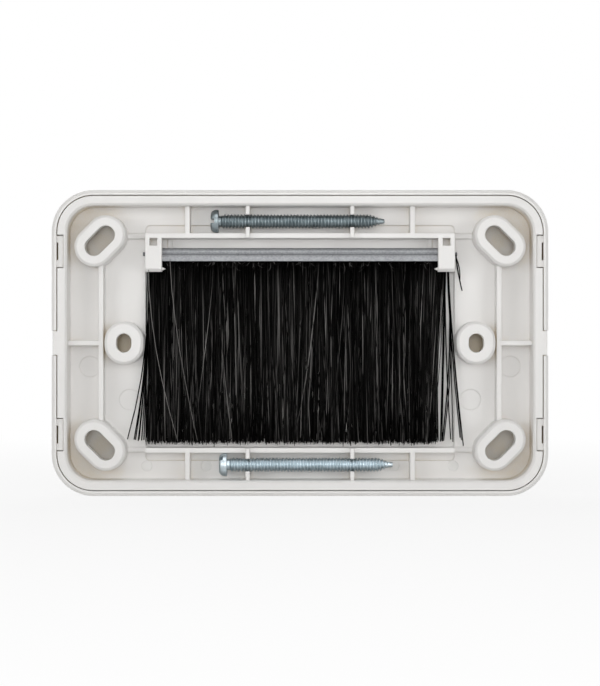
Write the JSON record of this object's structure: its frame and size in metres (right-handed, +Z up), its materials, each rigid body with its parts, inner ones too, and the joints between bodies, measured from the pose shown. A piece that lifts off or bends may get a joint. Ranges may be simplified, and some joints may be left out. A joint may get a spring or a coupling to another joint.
{
  "type": "brush cable grommet",
  "caption": "Hooded wall plate that passes cables down through a brush curtain, with a clip-on surround, slotted screw bosses and spare fixing screws clipped behind it.",
  "frame": {"origin": "on the wall plane, midway between the two screw holes at half height", "axes": "+X to the right seen from the front, +Y into the wall, +Z up"},
  "size_m": [0.1186, 0.0295, 0.073],
  "materials": {
    "base_plastic": "satin moulded",
    "cover_plastic": "polished",
    "galvanised_strip": "galvanised",
    "core_wire": "drawn wire",
    "black_nylon": "fine filaments",
    "zinc_plate": "bright zinc"
  },
  "bodies": {
    "root": {"base_plate": "base_plastic", "surround_cover": "cover_plastic", "brush_channel": "galvanised_strip", "brush_core_wire": "core_wire", "brush_bristles": "black_nylon", "mounting_screws": "zinc_plate"}
  },
  "joints": []
}
